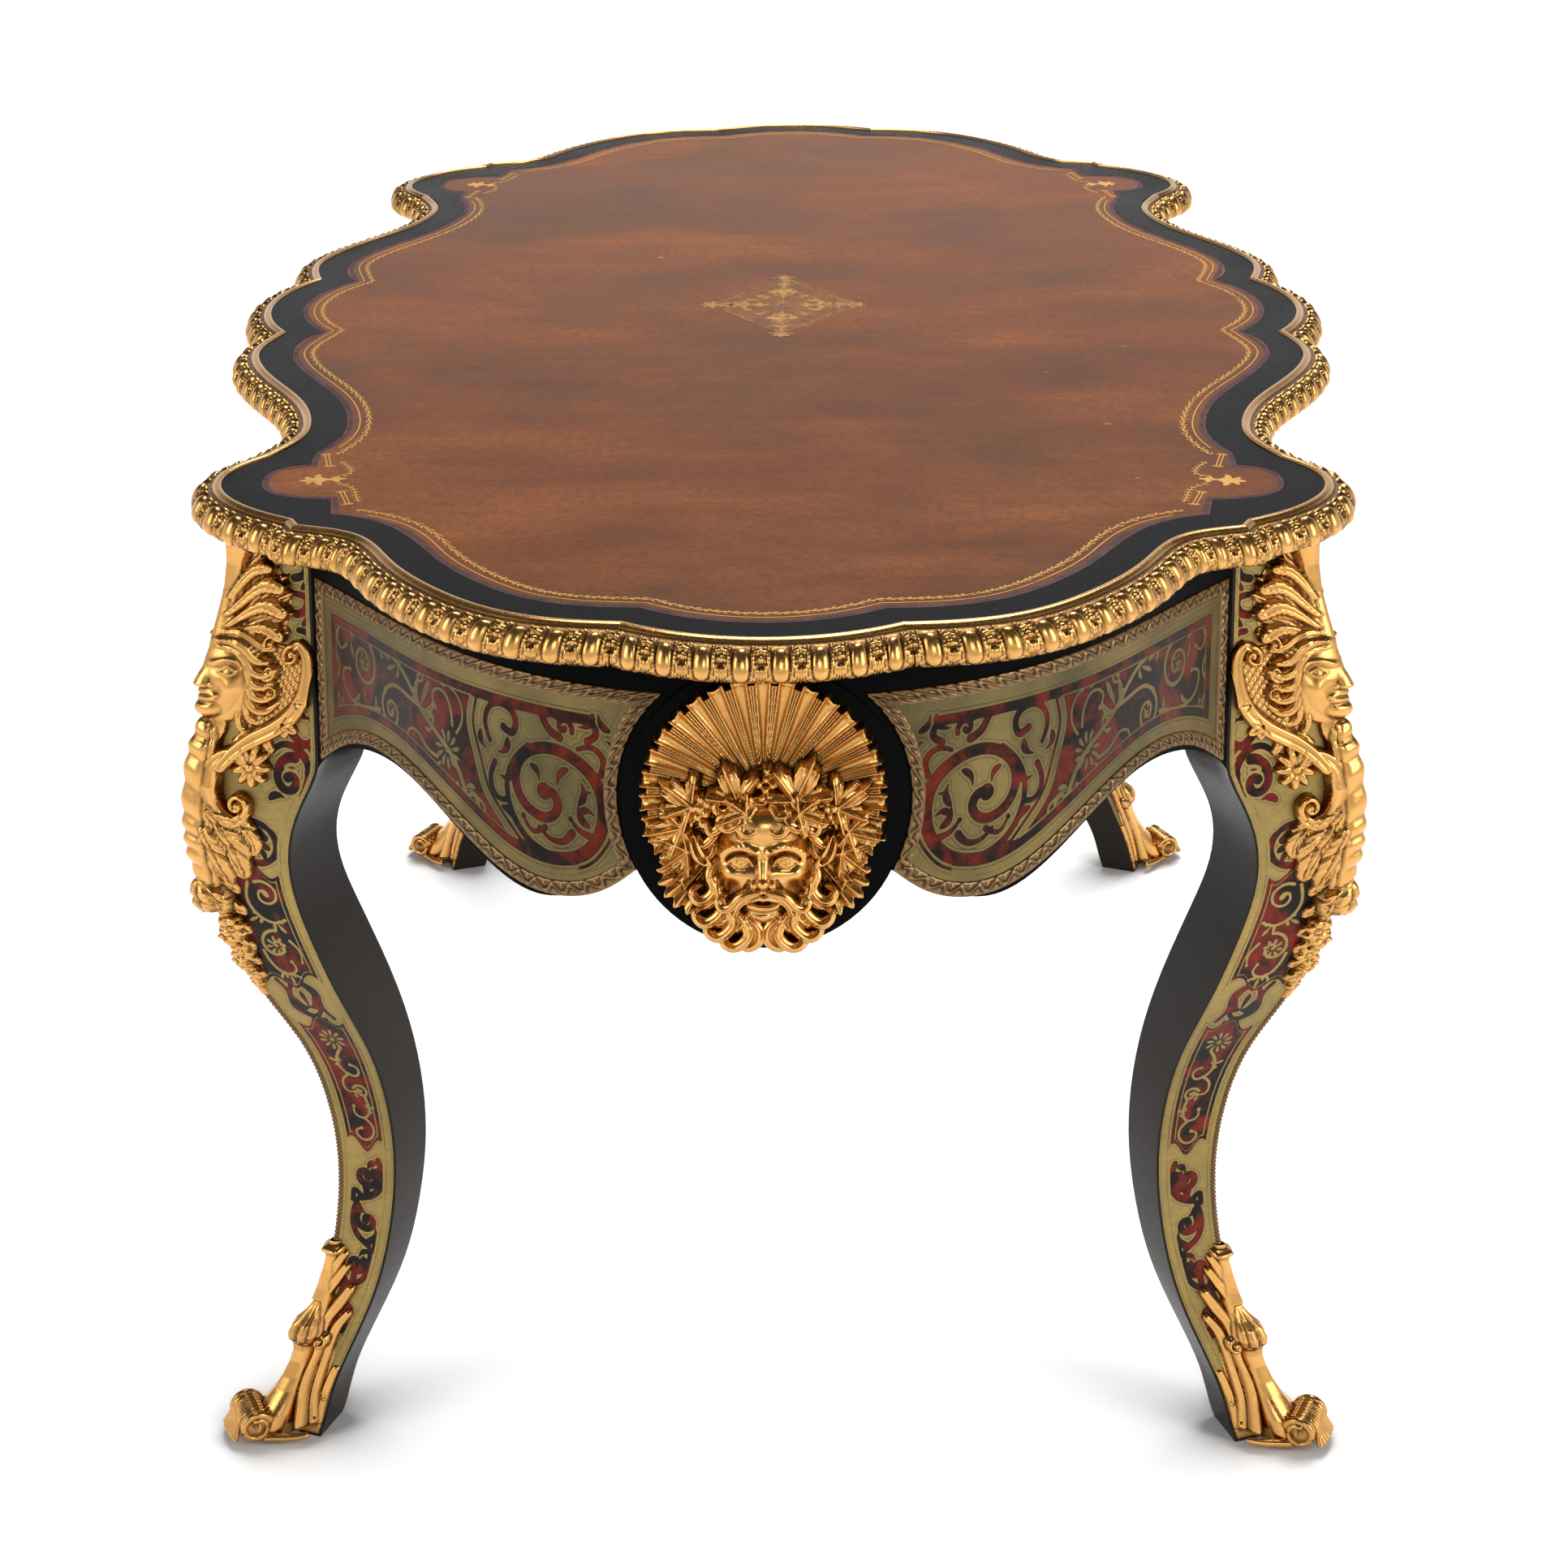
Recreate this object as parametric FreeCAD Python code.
import FreeCAD
import Part
import math
import os
from FreeCAD import Vector

# Bureau plat: a writing desk with a violin-shaped top on four cabriole legs.
# Millimetres. X runs along the length, -Y is the drawer side, Z is up.
# The origin is on the floor under the middle of the top.

# Top: half sizes are to the edge of the board, where the gilt moulding begins.
HALF_LENGTH = 797.0
HALF_DEPTH = 433.5
TOP_HEIGHT = 770.0
TOP_THICKNESS = 22.0
BORDER = 26.0
LEATHER_THICKNESS = 1.8
LEATHER_RECESS = 2.0
LEATHER_CLEARANCE = 0.3

# Outline of one quarter of the top, as shares of the half length and the half depth.
# The end is an arc. Flank, lobe and waist are smooth curves, and a small straight step sets the lobe off.
END_KINK = (0.967, 0.194)
FLANK = [(0.9635, 0.258), (0.946, 0.358), (0.893, 0.471), (0.8256, 0.5536), (0.7600, 0.6275)]
FLANK_END = (0.7385, 0.7185)
LOBE_START = (0.7235, 0.7315)
LOBE = [(0.7010, 0.790), (0.668, 0.8455), (0.6381, 0.8727), (0.6107, 0.8803), (0.582, 0.8697)]
WAIST_START = (0.5455, 0.8290)
WAIST = [(0.5207, 0.811), (0.4944, 0.7947), (0.4639, 0.7878), (0.4327, 0.7935), (0.3676, 0.829),
         (0.3004, 0.8927), (0.2296, 0.9495), (0.1882, 0.9643)]
SIDE_KINK = (0.1129, 0.941)
# Tongue of leather that runs into each lobe, between two square shoulders.
TONGUE = [(0.6675, 0.6918), (0.6645, 0.7403), (0.6450, 0.8000), (0.6162, 0.8168), (0.5840, 0.8040),
          (0.5690, 0.7535)]

# Gilt edge moulding: a flat lip, then an ovolo that carries the eggs.
MOULDING_CLEARANCE = 0.2
MOULDING_BITE = 2.0
LIP_WIDTH = 7.0
LIP_RISE = 3.0
MOULDING_REACH = 23.0
MOULDING_FOOT = 12.0

# Legs: square in section, with the outer arris turned towards the long sides.
LEG_TURN = 25.0
LEG_END_INSET = 268.3
LEG_SIDE_INSET = 40.3
END_JOINT_SET = 77.2
SIDE_JOINT_SET = 73.7
BLOCK_HEIGHT = 164.0
BLOCK_TOP_REACH = -35.0
BLOCK_FOOT_REACH = 8.0
FOOT_SIDE = 36.0
# Stations down the leg: share of the height under the block, reach of the arris, side of the square.
LEG_STATIONS = [(0.952, 12.5, 81.0), (0.904, 14.0, 71.0), (0.849, 12.0, 66.0), (0.762, 3.0, 68.5),
                (0.671, -15.0, 68.5), (0.579, -43.4, 58.5), (0.486, -60.0, 52.0), (0.397, -64.8, 48.5),
                (0.308, -60.3, 46.0), (0.223, -49.0, 43.5), (0.144, -32.0, 39.0), (0.068, -13.5, 36.0)]

# Frieze: aprons and drawer fronts share one flared outer surface, flush with the legs.
END_OVERHANG = 43.5
SIDE_OVERHANG = 37.5
END_APRON_WIDTH = 34.0
# Stations of the plan curves: share of the way from the middle to the leg, share of the bow.
END_CURVE = [(0.19, 0.98), (0.408, 0.872), (0.633, 0.643), (0.851, 0.266)]
SIDE_CURVE = [(0.286, 0.786), (0.484, 0.214), (0.659, -0.393), (0.802, -0.607), (0.912, -0.286)]
RAIL_SIDE_INSET = 145.5
RAIL_MIDDLE_INSET = 93.5

# Lower edge of the end apron: distance from the middle, depth below the board.
ROUNDEL_RADIUS = 88.0
ROUNDEL_DROP = 98.0
ROUNDEL_PROUD = 3.5
END_CUSP = 77.0
END_LOBE = (145.0, 170.0)
END_ARCH = (250.0, 127.0)
# Lower edge of the long sides.
KNEE_DROP = 146.0
SIDE_CUSP = (206.0, 154.0)
SIDE_LOBE = (300.0, 172.0)
SIDE_ARCH = (405.0, 150.0)

# Front frame and drawers.
DIVIDER_OFFSET = 215.0
DIVIDER_THICKNESS = 18.0
TOP_RAIL_HEIGHT = 12.0
DRAWER_OPENING = 114.0
DRAWER_GAP = 1.0
BEARER_THICKNESS = 18.0
BEARER_WIDTH = 30.0
DRAWER_LENGTH = 480.0
DRAWER_WALL = 10.0
DRAWER_SIDE_HEIGHT = 96.0
DRAWER_BOTTOM_THICKNESS = 6.0
DRAWER_BOTTOM_RISE = 8.0
GROOVE_DEPTH = 4.0
RUNNING_GAP = 0.3

# Lock, key and key plates.
PLATE_THICKNESS = 3.0
PLATE_CLEARANCE = 0.2
PLATE_HALF_WIDTH = 24.0
PLATE_HALF_HEIGHT = 36.0
PULL_STEM_RADIUS = 5.0
PULL_RADIUS = 9.0
PULL_STAND = 14.0
KEYHOLE_RADIUS = 3.55
KEY_RADIUS = 3.2
KEY_BOW_RADIUS = 13.0
KEY_BOW_WIRE = 3.0
KEY_STAND = 16.0
KEY_DROP = 46.0
LOCK_WIDTH = 70.0
LOCK_HEIGHT = 60.0
LOCK_DEPTH = 15.0
LOCK_WALL = 2.0
LOCK_SET_DOWN = 4.0
BOLT_WIDTH = 26.0
BOLT_DEPTH = 4.0
BOLT_LENGTH = 24.0
TAIL_WIDTH = 4.0
BIT_REACH = 11.0
BIT_DEPTH = 3.0

# Shell-and-mask mount on each roundel.
SHELL_RADIUS = 75.0
MASK_RISE = 10.0
SHELL_NOTCH = 4.0
SHELL_THICKNESS = 7.0
SHELL_RIBS = 30
HEAD_HALF_WIDTH = 34.0
HEAD_HALF_HEIGHT = 46.0
HEAD_RELIEF = 36.0
HEAD_DROP = 42.0

# Corner mounts: depth below the board, half width on each face, thickness there, stand-off at the arris.
CORNER_MOUNT = [(6.0, 7.0, 3.0, 15.0), (24.0, 22.0, 3.0, 9.0), (48.0, 45.0, 4.0, 10.0),
                (78.0, 47.0, 7.0, 18.0), (93.0, 58.0, 9.0, 23.0), (108.0, 70.0, 8.0, 22.0),
                (131.0, 66.0, 7.0, 15.0),
                (148.0, 45.0, 7.0, 12.0), (171.0, 46.0, 8.0, 14.0), (208.0, 40.0, 9.0, 16.0),
                (243.0, 27.0, 9.0, 18.0), (278.0, 15.0, 8.0, 18.0), (308.0, 13.0, 7.0, 15.0),
                (338.0, 10.0, 6.0, 10.0), (363.0, 6.0, 3.0, 5.0)]
# Sabots: height above the floor, half width on each face, thickness there, stand-off at the arris.
SABOT = [(158.0, 6.0, 3.0, 5.0), (140.0, 16.0, 3.0, 8.0), (118.0, 21.0, 3.0, 9.0), (98.0, 25.0, 4.0, 15.0),
         (86.0, 27.0, 4.0, 20.0), (68.0, 29.0, 4.0, 12.0), (48.0, 31.0, 4.0, 11.0), (30.0, 33.0, 5.0, 16.0),
         (12.0, 34.0, 5.0, 28.0), (5.0, 34.0, 5.0, 26.0)]
TOE_RADIUS = 14.0
TOE_HALF_WIDTH = 21.0
TOE_STAND = 20.0
TOE_HEIGHT = 26.0
# How deep the casts are drawn into the leg before the leg is cut out of them.
CAST_BITE = 3.0

UNDERSIDE = TOP_HEIGHT - TOP_THICKNESS
BLOCK_FOOT = UNDERSIDE - BLOCK_HEIGHT
TOP_RAIL_FOOT = UNDERSIDE - TOP_RAIL_HEIGHT
BEARER_TOP = TOP_RAIL_FOOT - DRAWER_OPENING
RAIL_BACK_SIDE = HALF_DEPTH - RAIL_SIDE_INSET
RAIL_BACK_MIDDLE = HALF_DEPTH - RAIL_MIDDLE_INSET
FRIEZE_FOOT = UNDERSIDE - ROUNDEL_DROP - ROUNDEL_RADIUS - 20.0
FRIEZE_HEIGHT = UNDERSIDE - FRIEZE_FOOT
SWEEP_STEPS = 9
# A stretch of the outline shorter than this is straight.
STEP_LENGTH = 40.0
TRIM = 0.07
WAIST_TRIM = 0.06


def save(shape, name):
    """Write one solid, or a set of like solids, under its node name."""
    if not shape.isValid():
        shape.fix(0.01, 0.01, 0.01)
    shape.exportStep("parts/" + name + ".step")
    print(name, len(shape.Solids), round(shape.Volume), shape.isValid())


def spline(points):
    curve = Part.BSplineCurve()
    curve.interpolate(points)
    return curve


def box(x0, x1, y0, y1, z0, z1):
    return Part.makeBox(x1 - x0, y1 - y0, z1 - z0, Vector(x0, y0, z0))


def prism(points, direction):
    """Straight-sided prism on a closed polygon."""
    face = Part.Face(Part.makePolygon(points + [points[0]]))
    return face.extrude(direction)


def polyhedron(low, high):
    """Solid with planar faces between two polygons that have as many corners."""
    count = len(low)
    faces = [Part.Face(Part.makePolygon(low + [low[0]])), Part.Face(Part.makePolygon(high + [high[0]]))]
    for i in range(count):
        j = (i + 1) % count
        faces.append(Part.Face(Part.makePolygon([low[i], low[j], high[j], high[i], low[i]])))
    solid = Part.makeSolid(Part.makeShell(faces))
    if solid.Volume < 0:
        solid.reverse()
    return solid


def loft(sections, ruled):
    wires = [Part.makePolygon(points + [points[0]]) for points in sections]
    solid = Part.makeLoft(wires, True, ruled)
    if solid.Volume < 0:
        solid.reverse()
    return solid


def mirrored(shape, flip_x, flip_y):
    if flip_x:
        shape = shape.mirror(Vector(0, 0, 0), Vector(1, 0, 0))
    if flip_y:
        shape = shape.mirror(Vector(0, 0, 0), Vector(0, 1, 0))
    return shape


# Outline of the top


def plan(share, sign_x, sign_y):
    return Vector(sign_x * share[0] * HALF_LENGTH, sign_y * share[1] * HALF_DEPTH, 0)


def arc_points(start, middle, end, count):
    arc = Part.Arc(start, middle, end)
    first = arc.FirstParameter
    last = arc.LastParameter
    return [arc.value(first + (last - first) * i / (count - 1)) for i in range(count)]


def quarter(sign_x, sign_y):
    """Flank, step, lobe and waist of one quarter, from the end towards the side."""
    flank = [END_KINK] + FLANK + [FLANK_END]
    lobe = [LOBE_START] + LOBE + [WAIST_START]
    waist = [WAIST_START] + WAIST + [SIDE_KINK]
    parts = (flank, [FLANK_END, LOBE_START], lobe, waist)
    return [[plan(share, sign_x, sign_y) for share in part] for part in parts]


def outline_segments():
    """The curves of the outline in order, counter-clockwise from the +X end: ten for each half."""
    segments = []
    for sign_x, sign_y in ((1, 1), (-1, -1)):
        end = arc_points(plan(END_KINK, sign_x, -sign_y), Vector(sign_x * HALF_LENGTH, 0, 0),
                         plan(END_KINK, sign_x, sign_y), 7)
        side = arc_points(plan(SIDE_KINK, sign_x, sign_y), Vector(0, sign_y * HALF_DEPTH, 0),
                          plan(SIDE_KINK, -sign_x, sign_y), 7)
        segments.append(end)
        segments.extend(quarter(sign_x, sign_y))
        segments.append(side)
        segments.extend([list(reversed(part)) for part in reversed(quarter(-sign_x, sign_y))])
    return [spline(points) for points in segments]


def outward(curve, parameter):
    tangent = curve.tangent(parameter)[0]
    return Vector(tangent.y, -tangent.x, 0).normalize()


def offset_points(curves, index, offset, height):
    """Points along one curve of the outline, moved outward by offset and mitred to its neighbours."""
    curve = curves[index]
    first = curve.FirstParameter
    last = curve.LastParameter
    before = curves[index - 1]
    after = curves[(index + 1) % len(curves)]
    steps = 2 if curve.length() < STEP_LENGTH else SWEEP_STEPS
    points = []
    for step in range(steps):
        share = step / (steps - 1)
        if 0 < step < steps - 1:
            share = TRIM + (1 - 2 * TRIM) * share
        parameter = first + (last - first) * share
        normal = outward(curve, parameter)
        other = normal
        if step == 0:
            other = outward(before, before.LastParameter)
        if step == steps - 1:
            other = outward(after, after.FirstParameter)
        mitre = (normal + other) * (1.0 / (1.0 + normal.dot(other)))
        point = curve.value(parameter) + mitre * offset
        points.append(Vector(point.x, point.y, height))
    return points


def plate(curves, offset, bottom, thickness):
    """Flat plate bounded by the outline moved outward by offset."""
    edges = [spline(offset_points(curves, i, offset, bottom)).toShape() for i in range(len(curves))]
    return Part.Face(Part.Wire(edges)).extrude(Vector(0, 0, thickness))


def leather_stretch(curves, index, inset, bottom):
    """One curve of the outline moved inward, cut short beside a lobe where it is a waist."""
    points = offset_points(curves, index, -inset, bottom)
    curve = curves[index]
    for waists, place, share in (((4, 14), 0, WAIST_TRIM), ((6, 16), -1, 1 - WAIST_TRIM)):
        if index in waists:
            parameter = curve.FirstParameter + (curve.LastParameter - curve.FirstParameter) * share
            point = curve.value(parameter) - outward(curve, parameter) * inset
            points[place] = Vector(point.x, point.y, bottom)
    return points


def inset_tongue(points, before, after, inset):
    """Points of one tongue moved into the leather by inset, between the neighbouring shoulders."""
    chain = [before] + points + [after]
    moved = []
    for last, point, following in zip(chain, chain[1:], chain[2:]):
        ahead = following - last
        moved.append(point + Vector(-ahead.y, ahead.x, 0).normalize() * inset)
    return moved


def leather_edges(curves, inset, bottom):
    """Edges of the leather field: the outline moved inward, with a tongue between shoulders at each lobe."""
    stretches = {}
    for index in range(len(curves)):
        if index % 10 not in (2, 3, 7, 8):
            stretches[index] = leather_stretch(curves, index, inset, bottom)
    for index in (3, 7, 13, 17):
        sign_x = 1 if index in (3, 17) else -1
        sign_y = 1 if index in (3, 7) else -1
        forward = index in (3, 13)
        tongue = [plan(share, sign_x, sign_y) + Vector(0, 0, bottom) for share in TONGUE]
        tongue = tongue if forward else list(reversed(tongue))
        before = stretches[index - (2 if forward else 1)][-1]
        after = stretches[index + (1 if forward else 2)][0]
        stretches[index] = inset_tongue(tongue, before, after, inset - BORDER)
    ordered = [stretches[index] for index in sorted(stretches)]
    edges = []
    for points, after in zip(ordered, ordered[1:] + ordered[:1]):
        edges.append(spline(points).toShape())
        if (points[-1] - after[0]).Length > 0.001:
            edges.append(Part.makeLine(points[-1], after[0]))
    return edges


def leather_plate(curves, inset, bottom, thickness):
    return Part.Face(Part.Wire(leather_edges(curves, inset, bottom))).extrude(Vector(0, 0, thickness))


def moulding_profile():
    """Offset and height of each corner of the moulding's section."""
    back = -MOULDING_BITE
    lip_top = TOP_HEIGHT + LIP_RISE
    step = TOP_HEIGHT - 1.0
    belly = TOP_HEIGHT - 0.55 * TOP_THICKNESS
    shoulder = LIP_WIDTH + 0.62 * (MOULDING_REACH - LIP_WIDTH)
    return [(back, UNDERSIDE), (MOULDING_FOOT, UNDERSIDE), (MOULDING_REACH - 2.0, belly - 5.0),
            (MOULDING_REACH, belly), (shoulder, step - 2.0), (LIP_WIDTH + 1.0, step), (LIP_WIDTH, lip_top),
            (back, lip_top)]


def moulding_length(curves, index):
    """One mitred length of the edge moulding."""
    rows = [offset_points(curves, index, offset, height) for offset, height in moulding_profile()]
    sections = [[row[step] for row in rows] for step in range(len(rows[0]))]
    return loft(sections, False)


def moulding(curves, indexes):
    """Cast of several lengths, fitted round the edge of the board."""
    lengths = [moulding_length(curves, i) for i in indexes]
    joined = lengths[0]
    for length in lengths[1:]:
        joined = joined.fuse(length)
    board = plate(curves, MOULDING_CLEARANCE, UNDERSIDE - 1.0, TOP_THICKNESS + 3 * LIP_RISE)
    return main_solid(joined.cut(board))


# Legs. All are worked out for the leg at +X, -Y and mirrored.

TURN = math.radians(LEG_TURN)
HALF_RIGHT = math.radians(45.0)
LEG_OUT = Vector(math.sin(TURN), -math.cos(TURN), 0)
END_NORMAL = Vector(math.sin(TURN + HALF_RIGHT), -math.cos(TURN + HALF_RIGHT), 0)
SIDE_NORMAL = Vector(math.sin(TURN - HALF_RIGHT), -math.cos(TURN - HALF_RIGHT), 0)
ALONG_END = -SIDE_NORMAL
ALONG_SIDE = -END_NORMAL
LEG_FOOT = Vector(HALF_LENGTH - LEG_END_INSET, LEG_SIDE_INSET - HALF_DEPTH, 0)
JOINT_Y = LEG_FOOT.y + END_JOINT_SET
JOINT_X = LEG_FOOT.x - SIDE_JOINT_SET


def arris_point(reach, height):
    return LEG_FOOT + LEG_OUT * reach + Vector(0, 0, height)


def block_section(reach, height):
    """Corners of the block under the top: arris, end joint, inner corner, side joint."""
    arris = arris_point(reach, height)
    end_joint = arris + ALONG_END * ((JOINT_Y - arris.y) / ALONG_END.y)
    side_joint = arris + ALONG_SIDE * ((JOINT_X - arris.x) / ALONG_SIDE.x)
    return [arris, end_joint, Vector(JOINT_X, JOINT_Y, height), side_joint]


def leg_section(reach, side, height):
    arris = arris_point(reach, height)
    inner = arris + (ALONG_END + ALONG_SIDE) * side
    return [arris, arris + ALONG_END * side, inner, arris + ALONG_SIDE * side]


def leg_reach(height):
    """Reach of the arris at a height, straight in the block and smooth below it."""
    if height >= BLOCK_FOOT:
        share = (height - BLOCK_FOOT) / BLOCK_HEIGHT
        return BLOCK_FOOT_REACH + (BLOCK_TOP_REACH - BLOCK_FOOT_REACH) * share
    knots = [(BLOCK_FOOT, BLOCK_FOOT_REACH)]
    knots += [(share * BLOCK_FOOT, reach) for share, reach, side in LEG_STATIONS]
    knots.append((0.0, 0.0))
    for (high, reach_high), (low, reach_low) in zip(knots, knots[1:]):
        if height >= low:
            return reach_low + (reach_high - reach_low) * (height - low) / (high - low)
    return 0.0


def leg():
    top = block_section(BLOCK_TOP_REACH, UNDERSIDE)
    foot = block_section(BLOCK_FOOT_REACH, BLOCK_FOOT)
    block = polyhedron(foot, top)
    sections = [foot]
    for share, reach, side in LEG_STATIONS:
        sections.append(leg_section(reach, side, share * BLOCK_FOOT))
    sections.append(leg_section(0.0, FOOT_SIDE, 0.0))
    return block.fuse(loft(sections, False))


def saddle(stations, from_floor):
    """Cast that straddles the arris: a ruled body through one saddle section for each station."""
    sections = []
    for drop, half_width, edge, stand in stations:
        height = drop if from_floor else UNDERSIDE - drop
        arris = arris_point(leg_reach(height), height)
        end_edge = arris + ALONG_END * half_width
        side_edge = arris + ALONG_SIDE * half_width
        end_mid = arris + ALONG_END * (0.5 * half_width)
        side_mid = arris + ALONG_SIDE * (0.5 * half_width)
        swell = 0.5 * (edge + 0.7 * stand)
        sections.append([arris - LEG_OUT * CAST_BITE, end_edge - END_NORMAL * CAST_BITE,
                         end_edge + END_NORMAL * edge, end_mid + END_NORMAL * swell, arris + LEG_OUT * stand,
                         side_mid + SIDE_NORMAL * swell, side_edge + SIDE_NORMAL * edge,
                         side_edge - SIDE_NORMAL * CAST_BITE])
    return loft(sections, True)


def main_solid(shape):
    return max(shape.Solids, key=lambda solid: solid.Volume)


def corner_mount(leg_solid):
    return main_solid(saddle(CORNER_MOUNT, False).cut(leg_solid))


def sabot(leg_solid):
    body = saddle(SABOT, True)
    across = Vector(-LEG_OUT.y, LEG_OUT.x, 0)
    centre = arris_point(leg_reach(TOE_HEIGHT), TOE_HEIGHT) + LEG_OUT * TOE_STAND
    toe = Part.makeCylinder(TOE_RADIUS, 2 * TOE_HALF_WIDTH, centre - across * TOE_HALF_WIDTH, across)
    return main_solid(body.fuse(toe).cut(leg_solid))


# Frieze


def flare_per_height():
    """Outward lean of the frieze at the end and at the side, so that it lies flush with the leg blocks."""
    top = block_section(BLOCK_TOP_REACH, UNDERSIDE)
    foot = block_section(BLOCK_FOOT_REACH, BLOCK_FOOT)
    return (foot[1].x - top[1].x) / BLOCK_HEIGHT, (top[3].y - foot[3].y) / BLOCK_HEIGHT


END_FLARE, SIDE_FLARE = flare_per_height()
END_START = block_section(BLOCK_TOP_REACH, UNDERSIDE)[1]
SIDE_START = block_section(BLOCK_TOP_REACH, UNDERSIDE)[3]
END_CENTRE = HALF_LENGTH - END_OVERHANG
SIDE_CENTRE = HALF_DEPTH - SIDE_OVERHANG


def end_curve(shift):
    """Plan of the end apron at the top, from -Y to +Y, moved along X by shift."""
    half = [(share * -JOINT_Y, END_START.x + bow * (END_CENTRE - END_START.x)) for share, bow in END_CURVE]
    half.append((-JOINT_Y, END_START.x))
    left = [Vector(x + shift, -y, UNDERSIDE) for y, x in reversed(half)]
    right = [Vector(x + shift, y, UNDERSIDE) for y, x in half]
    return left + [Vector(END_CENTRE + shift, 0, UNDERSIDE)] + right


def side_curve():
    """Plan of the front at the top, from -X to +X."""
    start = -SIDE_START.y
    half = [(share * JOINT_X, start + bow * (SIDE_CENTRE - start)) for share, bow in SIDE_CURVE]
    half.append((JOINT_X, start))
    left = [Vector(-x, -y, UNDERSIDE) for x, y in reversed(half)]
    right = [Vector(x, -y, UNDERSIDE) for x, y in half]
    return left + [Vector(0, -SIDE_CENTRE, UNDERSIDE)] + right


def end_lower_edge():
    """Wire round what is kept of the end apron, in the plane X = 0."""
    roundel_z = UNDERSIDE - ROUNDEL_DROP
    cusp_z = roundel_z - math.sqrt(ROUNDEL_RADIUS ** 2 - END_CUSP ** 2)
    arch_y, arch_drop = END_ARCH
    lobe_y, lobe_drop = END_LOBE
    half = [(-JOINT_Y, BLOCK_FOOT), (-JOINT_Y - 0.4 * (-JOINT_Y - arch_y), UNDERSIDE - arch_drop - 11.0),
            (arch_y, UNDERSIDE - arch_drop),
            (0.5 * (arch_y + lobe_y), UNDERSIDE - 0.5 * (arch_drop + lobe_drop)),
            (lobe_y, UNDERSIDE - lobe_drop),
            (0.6 * END_CUSP + 0.4 * lobe_y, 0.6 * cusp_z + 0.4 * (UNDERSIDE - lobe_drop) - 4.0),
            (END_CUSP, cusp_z)]
    right = [Vector(0, y, z) for y, z in half]
    left = [Vector(0, -y, z) for y, z in reversed(half)]
    arc = Part.Arc(right[-1], Vector(0, 0, roundel_z - ROUNDEL_RADIUS), left[0]).toShape()
    top = [left[-1], Vector(0, JOINT_Y, UNDERSIDE), Vector(0, -JOINT_Y, UNDERSIDE), right[0]]
    edges = [spline(right).toShape(), arc, spline(left).toShape()]
    edges += [Part.makeLine(a, b) for a, b in zip(top, top[1:])]
    return Part.Wire(edges)


def roundel_front(height):
    return END_CENTRE + ROUNDEL_PROUD + END_FLARE * (UNDERSIDE - height)


def roundel_slab(thickness):
    """Leaning slab behind the front plane of the roundel."""
    low = FRIEZE_FOOT
    high = UNDERSIDE
    corners = [(roundel_front(low), low), (roundel_front(high), high),
               (roundel_front(high) - thickness, high), (roundel_front(low) - thickness, low)]
    points = [Vector(x, -2 * ROUNDEL_RADIUS, z) for x, z in corners]
    return prism(points, Vector(0, 4 * ROUNDEL_RADIUS, 0))


def end_apron():
    outer = spline(end_curve(0.0))
    inner = spline(end_curve(-END_APRON_WIDTH))
    ends = [Part.makeLine(outer.EndPoint, inner.EndPoint), Part.makeLine(inner.StartPoint, outer.StartPoint)]
    face = Part.Face(Part.Wire([outer.toShape(), ends[0], inner.toShape(), ends[1]]))
    band = face.extrude(Vector(END_FLARE * FRIEZE_HEIGHT, 0, -FRIEZE_HEIGHT))
    keep = Part.Face(end_lower_edge()).extrude(Vector(2 * HALF_LENGTH, 0, 0))
    apron = band.common(keep)
    centre = Vector(0, 0, UNDERSIDE - ROUNDEL_DROP)
    disc = Part.makeCylinder(ROUNDEL_RADIUS, 2 * HALF_LENGTH, centre, Vector(1, 0, 0))
    disc = disc.common(roundel_slab(END_APRON_WIDTH))
    return main_solid(apron.fuse(disc))


def front_mass():
    """Everything behind the flared outer surface of the front, down to the lowest edge."""
    outer = spline(side_curve())
    corner_right = Vector(JOINT_X, 0, UNDERSIDE)
    corner_left = Vector(-JOINT_X, 0, UNDERSIDE)
    edges = [outer.toShape(), Part.makeLine(outer.EndPoint, corner_right),
             Part.makeLine(corner_right, corner_left), Part.makeLine(corner_left, outer.StartPoint)]
    return Part.Face(Part.Wire(edges)).extrude(Vector(0, -SIDE_FLARE * FRIEZE_HEIGHT, -FRIEZE_HEIGHT))


STEP_X = DIVIDER_OFFSET - 0.5 * DIVIDER_THICKNESS
REACH_Y = 2 * HALF_DEPTH


def rail_zone(low, high):
    """Space in front of the backs of the rails, between the two legs."""
    side = box(-JOINT_X, JOINT_X, -REACH_Y, -RAIL_BACK_SIDE, low, high)
    middle = box(-STEP_X, STEP_X, -RAIL_BACK_MIDDLE, -RAIL_BACK_SIDE, low, high)
    return side.cut(middle)


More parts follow.
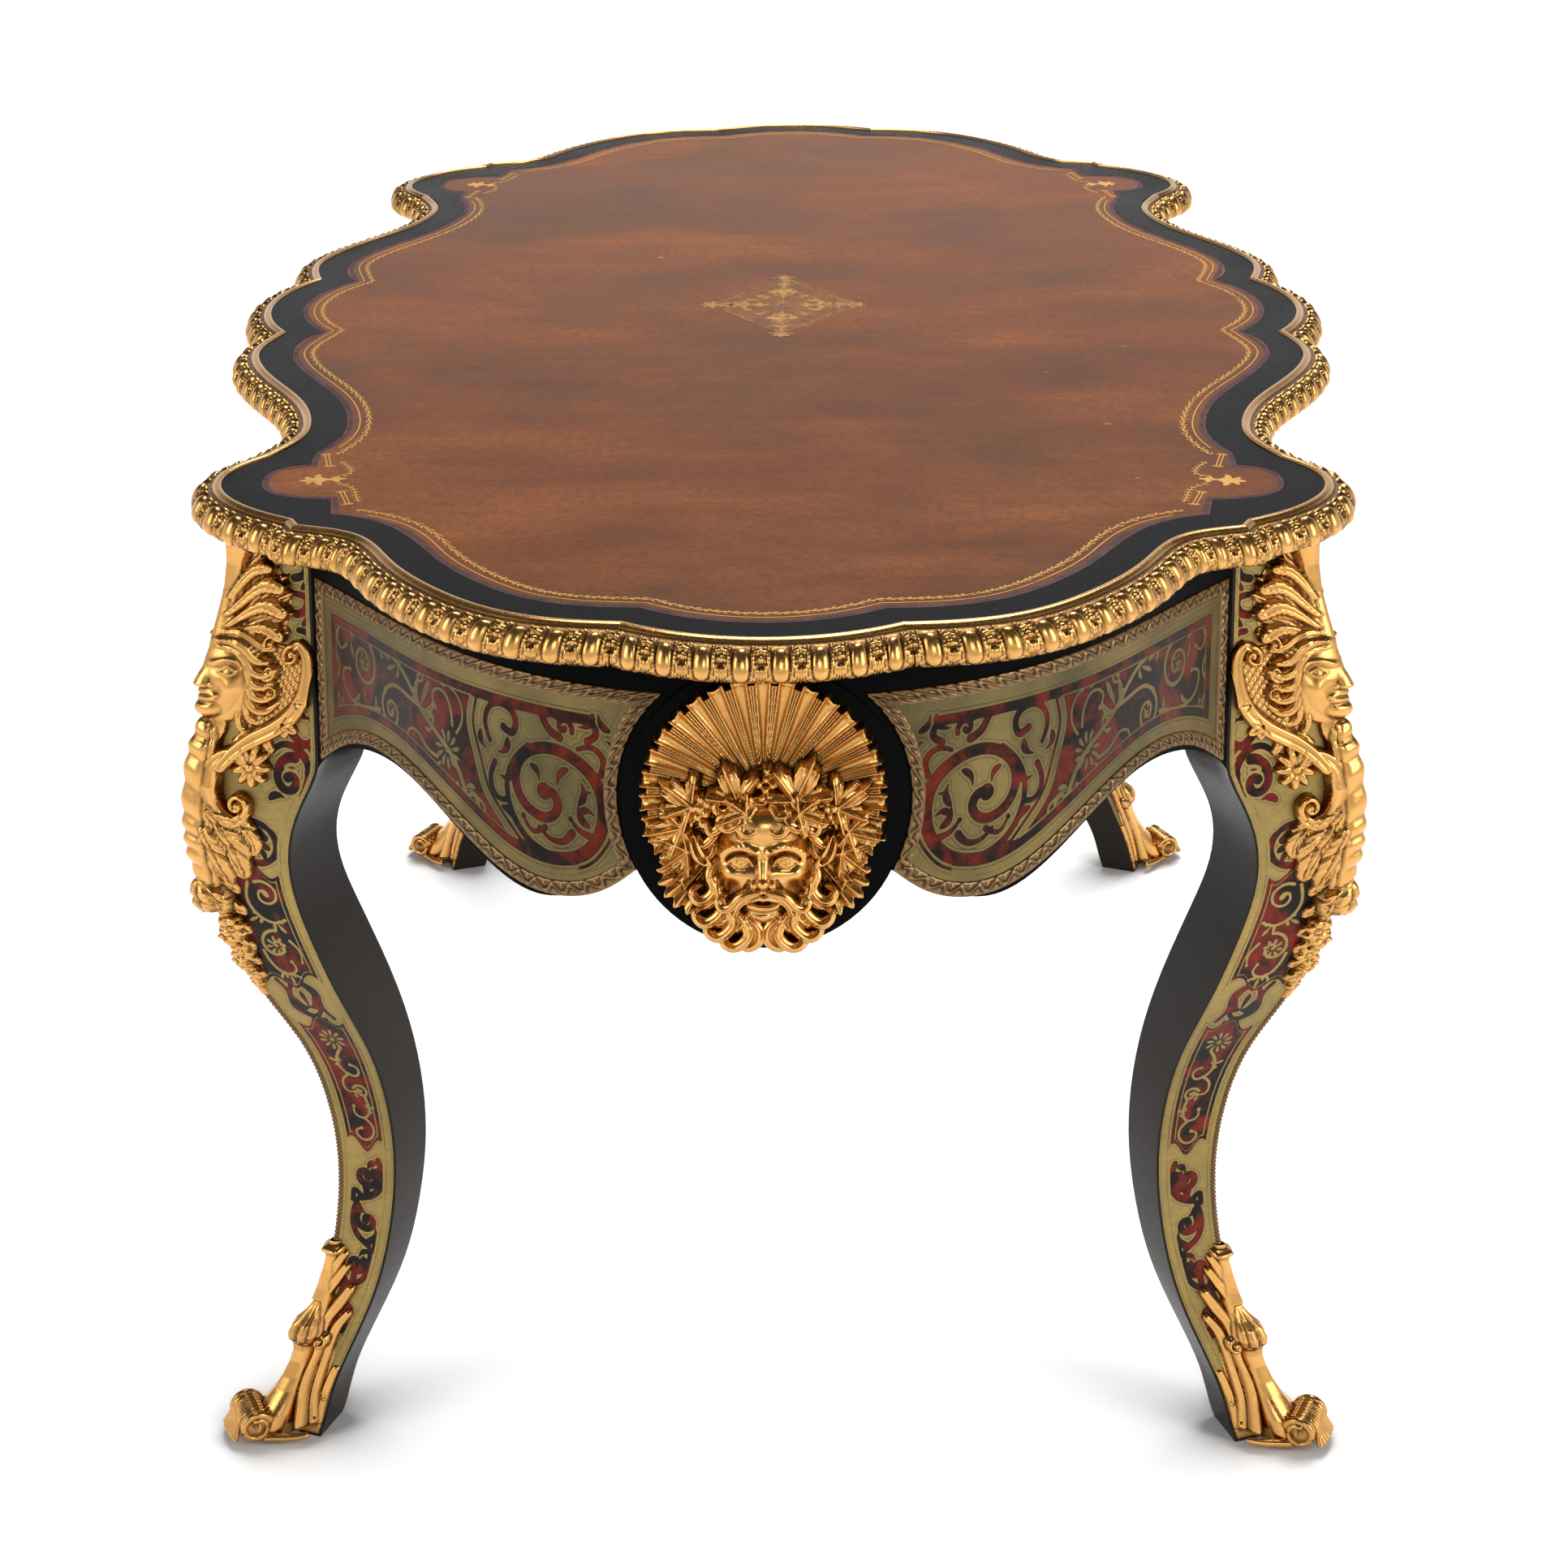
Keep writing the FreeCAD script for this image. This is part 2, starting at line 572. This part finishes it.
def side_lower_edge(top):
    """Wire round what is kept of a long rail below a height, in the plane Y = 0."""
    cusp_x, cusp_drop = SIDE_CUSP
    lobe_x, lobe_drop = SIDE_LOBE
    arch_x, arch_drop = SIDE_ARCH
    half = [(cusp_x, UNDERSIDE - cusp_drop - 10.0), (lobe_x, UNDERSIDE - lobe_drop),
            (0.5 * (lobe_x + arch_x), UNDERSIDE - 0.5 * (lobe_drop + arch_drop)),
            (arch_x, UNDERSIDE - arch_drop), (JOINT_X, BLOCK_FOOT)]
    right = [Vector(x, 0, z) for x, z in half]
    left = [Vector(-x, 0, z) for x, z in reversed(half)]
    knee = Part.Arc(left[-1], Vector(0, 0, UNDERSIDE - KNEE_DROP), right[0]).toShape()
    upper = [right[-1], Vector(JOINT_X, 0, top), Vector(-JOINT_X, 0, top), left[0]]
    edges = [spline(left).toShape(), knee, spline(right).toShape()]
    edges += [Part.makeLine(a, b) for a, b in zip(upper, upper[1:])]
    return Part.Wire(edges)


def long_rail(mass, top):
    """Shaped rail from leg to leg, from its lower edge up to a height."""
    keep = Part.Face(side_lower_edge(top)).extrude(Vector(0, -REACH_Y, 0))
    return main_solid(mass.common(rail_zone(FRIEZE_FOOT, top)).common(keep))


def top_rail(mass):
    return main_solid(mass.common(rail_zone(TOP_RAIL_FOOT, UNDERSIDE)))


def divider(mass):
    """Upright board beside the middle drawer, with a nose flush with the drawer fronts."""
    x0 = DIVIDER_OFFSET - 0.5 * DIVIDER_THICKNESS
    x1 = DIVIDER_OFFSET + 0.5 * DIVIDER_THICKNESS
    board = box(x0, x1, -RAIL_BACK_SIDE, RAIL_BACK_SIDE, BEARER_TOP, UNDERSIDE)
    nose = mass.common(box(x0, x1, -REACH_Y, -RAIL_BACK_SIDE, BEARER_TOP, TOP_RAIL_FOOT))
    return main_solid(board.fuse(nose).removeSplitter())


def bearer(x0, x1):
    return box(x0, x1, -RAIL_BACK_SIDE, RAIL_BACK_SIDE, BEARER_TOP - BEARER_THICKNESS, BEARER_TOP)


# Drawers

FRONT_LOW = BEARER_TOP + DRAWER_GAP
FRONT_HIGH = TOP_RAIL_FOOT - DRAWER_GAP
BOX_LOW = BEARER_TOP + RUNNING_GAP
BOX_HIGH = BOX_LOW + DRAWER_SIDE_HEIGHT
KEY_Z = TOP_RAIL_FOOT - KEY_DROP


def drawer_parts(mass, x0, x1, back):
    """Front, two sides, back and bottom of a drawer whose front fills x0 to x1."""
    rear = DRAWER_LENGTH - back
    front = main_solid(mass.common(box(x0, x1, -REACH_Y, -back, FRONT_LOW, FRONT_HIGH)))
    inner0 = x0 + DRAWER_GAP
    inner1 = x1 - DRAWER_GAP
    floor_low = BOX_LOW + DRAWER_BOTTOM_RISE
    floor_high = floor_low + DRAWER_BOTTOM_THICKNESS
    slot_low = floor_low - RUNNING_GAP
    slot_high = floor_high + RUNNING_GAP
    wall0 = inner0 + DRAWER_WALL
    wall1 = inner1 - DRAWER_WALL
    side0 = box(inner0, wall0, -back, rear, BOX_LOW, BOX_HIGH)
    side1 = box(wall1, inner1, -back, rear, BOX_LOW, BOX_HIGH)
    side0 = side0.cut(box(wall0 - GROOVE_DEPTH, wall0, -back, rear, slot_low, slot_high))
    side1 = side1.cut(box(wall1, wall1 + GROOVE_DEPTH, -back, rear, slot_low, slot_high))
    rear_board = box(wall0, wall1, rear - DRAWER_WALL, rear, slot_high, BOX_HIGH)
    tongue = GROOVE_DEPTH - RUNNING_GAP
    floor = box(wall0 - tongue, wall1 + tongue, -back, rear, floor_low, floor_high)
    return {"front": front, "side_left": side0, "side_right": side1, "back": rear_board, "bottom": floor}


def oval_prism(x):
    """Oval bar along Y that cuts a key plate out of the skin of the front."""
    points = []
    for step in range(16):
        angle = 2 * math.pi * step / 16
        across = PLATE_HALF_WIDTH * math.cos(angle)
        up = PLATE_HALF_HEIGHT * math.sin(angle)
        points.append(Vector(x + across, 0, KEY_Z + up))
    curve = Part.BSplineCurve()
    curve.interpolate(points, True)
    return Part.Face(Part.Wire([curve.toShape()])).extrude(Vector(0, -REACH_Y, 0))


def front_plate(mass, x):
    """Oval gilt plate that follows the flared front."""
    gap = mass.copy()
    gap.translate(Vector(0, -PLATE_CLEARANCE, 0))
    skin = mass.copy()
    skin.translate(Vector(0, -PLATE_CLEARANCE - PLATE_THICKNESS, 0))
    return main_solid(skin.common(oval_prism(x)).cut(gap))


def front_y(mass, x):
    """Y of the outer surface of the front at a key plate."""
    line = Part.makeLine(Vector(x, 0, KEY_Z), Vector(x, -REACH_Y, KEY_Z))
    return line.common(mass).BoundBox.YMin


def keyhole(radius, start, end):
    return Part.makeCylinder(radius, end - start, Vector(0, start, KEY_Z), Vector(0, 1, 0))


def drawer_pull(mass, x):
    """Plate of a side drawer with the round pull cast on it."""
    surface = front_y(mass, x) - PLATE_CLEARANCE - PLATE_THICKNESS
    root = Vector(x, surface + 1.0, KEY_Z)
    stem = Part.makeCylinder(PULL_STEM_RADIUS, PULL_STAND + 1.0, root, Vector(0, -1, 0))
    knob = Part.makeSphere(PULL_RADIUS, Vector(x, surface - PULL_STAND, KEY_Z))
    return main_solid(front_plate(mass, x).fuse(stem).fuse(knob))


# Lock of the middle drawer

LOCK_FRONT = -RAIL_BACK_MIDDLE
LOCK_TOP = FRONT_HIGH - LOCK_SET_DOWN
BOLT_TOP = FRONT_HIGH - 1.0
BOLT_Y = LOCK_FRONT + 0.5 * LOCK_DEPTH
TAIL_FOOT = KEY_Z + KEY_RADIUS + 1.0


def lock_case():
    half = 0.5 * LOCK_WIDTH
    case = box(-half, half, LOCK_FRONT, LOCK_FRONT + LOCK_DEPTH, LOCK_TOP - LOCK_HEIGHT, LOCK_TOP)
    hollow = box(-half + LOCK_WALL, half - LOCK_WALL,
                 LOCK_FRONT + LOCK_WALL, LOCK_FRONT + LOCK_DEPTH - LOCK_WALL,
                 LOCK_TOP - LOCK_HEIGHT + LOCK_WALL, LOCK_TOP - LOCK_WALL)
    slot_x = 0.5 * BOLT_WIDTH + RUNNING_GAP
    slot_y = 0.5 * BOLT_DEPTH + RUNNING_GAP
    slot = box(-slot_x, slot_x, BOLT_Y - slot_y, BOLT_Y + slot_y, LOCK_TOP - 2 * LOCK_WALL, LOCK_TOP + 1.0)
    hole = keyhole(KEYHOLE_RADIUS, LOCK_FRONT - 1.0, LOCK_FRONT + LOCK_WALL + 1.0)
    return case.cut(hollow).cut(slot).cut(hole)


def lock_bolt():
    """Bolt plate with a narrow tail that stands over the bit of the key."""
    near = BOLT_Y - 0.5 * BOLT_DEPTH
    far = BOLT_Y + 0.5 * BOLT_DEPTH
    head_foot = BOLT_TOP - BOLT_LENGTH
    head = box(-0.5 * BOLT_WIDTH, 0.5 * BOLT_WIDTH, near, far, head_foot, BOLT_TOP)
    tail = box(-0.5 * TAIL_WIDTH, 0.5 * TAIL_WIDTH, near, far, TAIL_FOOT, head_foot + 1.0)
    return head.fuse(tail).removeSplitter()


def key(mass):
    """Key with its bit to the side: shank along Y, flat ring for a bow."""
    surface = front_y(mass, 0.0) - PLATE_CLEARANCE - PLATE_THICKNESS
    tip = BOLT_Y + 0.5 * BIT_DEPTH + 1.0
    shank = keyhole(KEY_RADIUS, surface - KEY_STAND, tip)
    centre = Vector(0, surface - KEY_STAND - KEY_BOW_RADIUS, KEY_Z)
    bow = Part.makeTorus(KEY_BOW_RADIUS, KEY_BOW_WIRE, centre, Vector(0, 0, 1))
    collar = Part.makeCylinder(1.7 * KEY_RADIUS, 4.0, Vector(0, surface - 5.0, KEY_Z), Vector(0, -1, 0))
    half = 0.5 * BIT_DEPTH
    bit = box(0, BIT_REACH, BOLT_Y - half, BOLT_Y + half, KEY_Z - half, KEY_Z + half)
    return main_solid(shank.fuse(bow).fuse(collar).fuse(bit))


# Shell-and-mask mount


def bump(x, y, z, half_x, half_y, half_z):
    """Part of the mask in its own frame: X out of the roundel, Z up, origin at the middle of the shell."""
    ball = Part.makeSphere(1.0)
    ball.rotate(Vector(0, 0, 0), Vector(0, 0, 1), 180.0)
    scale = FreeCAD.Matrix()
    scale.scale(half_x, half_y, half_z)
    ball = ball.transformGeometry(scale)
    ball.translate(Vector(x, y, z))
    return ball


def end_mask():
    rim = []
    for step in range(2 * SHELL_RIBS):
        radius = SHELL_RADIUS - (SHELL_NOTCH if step % 2 else 0.0)
        angle = math.pi * step / SHELL_RIBS
        rim.append(Vector(0, radius * math.sin(angle), radius * math.cos(angle)))
    shape = prism(rim, Vector(SHELL_THICKNESS, 0, 0))
    shape = shape.fuse(bump(0, 0, -HEAD_DROP, HEAD_RELIEF, HEAD_HALF_WIDTH, HEAD_HALF_HEIGHT))
    shape = shape.fuse(bump(0, 0, -HEAD_DROP + 0.75 * HEAD_HALF_HEIGHT, 0.62 * HEAD_RELIEF,
                            1.3 * HEAD_HALF_WIDTH, 0.45 * HEAD_HALF_HEIGHT))
    shape = shape.fuse(bump(0, 0, -HEAD_DROP - 0.72 * HEAD_HALF_HEIGHT, 0.6 * HEAD_RELIEF,
                            0.66 * HEAD_HALF_WIDTH, 0.42 * HEAD_HALF_HEIGHT))
    for side in (-1, 1):
        shape = shape.fuse(bump(0, side * 1.15 * HEAD_HALF_WIDTH, -HEAD_DROP + 3.0, 0.35 * HEAD_RELIEF,
                                0.42 * HEAD_HALF_WIDTH, 0.4 * HEAD_HALF_HEIGHT))
    shape = shape.fuse(bump(0.95 * HEAD_RELIEF, 0, -HEAD_DROP + 1.0, 5.0, 6.0, 0.25 * HEAD_HALF_HEIGHT))
    reach = 3 * SHELL_RADIUS
    shape = main_solid(shape.common(box(0, reach, -reach, reach, -reach, reach)))
    normal = Vector(1, 0, END_FLARE).normalize()
    centre_z = UNDERSIDE - ROUNDEL_DROP + MASK_RISE
    turn = FreeCAD.Rotation(Vector(1, 0, 0), normal)
    shape.Placement = FreeCAD.Placement(Vector(roundel_front(centre_z), 0, centre_z), turn)
    return shape


# Build

os.makedirs("parts", exist_ok=True)
CURVES = outline_segments()
CORNERS = {"front_right": (0, 0), "front_left": (1, 0), "back_right": (0, 1), "back_left": (1, 1)}
MOULDINGS = {"corner_back_right": [2, 3], "corner_back_left": [7, 8], "corner_front_left": [12, 13],
             "corner_front_right": [17, 18], "end_right": [19, 0, 1], "end_left": [9, 10, 11],
             "back": [4, 5, 6], "front": [14, 15, 16]}

board = plate(CURVES, 0.0, UNDERSIDE, TOP_THICKNESS)
recess = leather_plate(CURVES, BORDER, TOP_HEIGHT - LEATHER_RECESS, LEATHER_RECESS + 1.0)
save(board.cut(recess), "top_board")
leather = leather_plate(CURVES, BORDER + LEATHER_CLEARANCE, TOP_HEIGHT - LEATHER_RECESS, LEATHER_THICKNESS)
save(leather, "writing_leather")
for name, indexes in MOULDINGS.items():
    save(moulding(CURVES, indexes), "edge_moulding_" + name)

one_leg = leg()
one_mount = corner_mount(one_leg)
one_sabot = sabot(one_leg)
for name, flips in CORNERS.items():
    save(mirrored(one_leg, *flips), "leg_" + name)
    save(mirrored(one_mount, *flips), "corner_mount_" + name)
    save(mirrored(one_sabot, *flips), "sabot_" + name)

apron = end_apron()
mask = end_mask()
for name, flip in (("right", 0), ("left", 1)):
    save(mirrored(apron, flip, 0), "end_apron_" + name)
    save(mirrored(mask, flip, 0), "end_mask_" + name)

mass = front_mass()
save(top_rail(mass), "front_top_rail")
save(long_rail(mass, BEARER_TOP), "front_lower_rail")
save(mirrored(long_rail(mass, UNDERSIDE), 0, 1), "back_apron")

one_divider = divider(mass)
inner_bearer = bearer(DIVIDER_OFFSET - BEARER_WIDTH, DIVIDER_OFFSET + BEARER_WIDTH)
outer_bearer = bearer(JOINT_X - BEARER_WIDTH, JOINT_X)
for name, flip in (("right", 0), ("left", 1)):
    save(mirrored(one_divider, flip, 0), "divider_" + name)
    save(mirrored(inner_bearer, flip, 0), "bearer_inner_" + name)
    save(mirrored(outer_bearer, flip, 0), "bearer_outer_" + name)

NEAR = DIVIDER_OFFSET - 0.5 * DIVIDER_THICKNESS - DRAWER_GAP
FAR = DIVIDER_OFFSET + 0.5 * DIVIDER_THICKNESS + DRAWER_GAP
EDGE = JOINT_X - DRAWER_GAP
PULL_X = 0.5 * (FAR + EDGE)
side_parts = drawer_parts(mass, FAR, EDGE, RAIL_BACK_SIDE)
pull = drawer_pull(mass, PULL_X)
for name, shape in side_parts.items():
    save(shape, "drawer_right_" + name)
SWAP = {"side_left": "side_right", "side_right": "side_left"}
for name, shape in side_parts.items():
    save(mirrored(shape, 1, 0), "drawer_left_" + SWAP.get(name, name))
save(pull, "drawer_pull_right")
save(mirrored(pull, 1, 0), "drawer_pull_left")

middle_parts = drawer_parts(mass, -NEAR, NEAR, RAIL_BACK_MIDDLE)
hole = keyhole(KEYHOLE_RADIUS, -REACH_Y, -RAIL_BACK_MIDDLE + 1.0)
middle_parts["front"] = middle_parts["front"].cut(hole)
for name, shape in middle_parts.items():
    save(shape, "drawer_centre_" + name)
save(front_plate(mass, 0.0).cut(hole), "key_plate")
save(lock_case(), "lock_case")
save(lock_bolt(), "lock_bolt")
save(key(mass), "key")
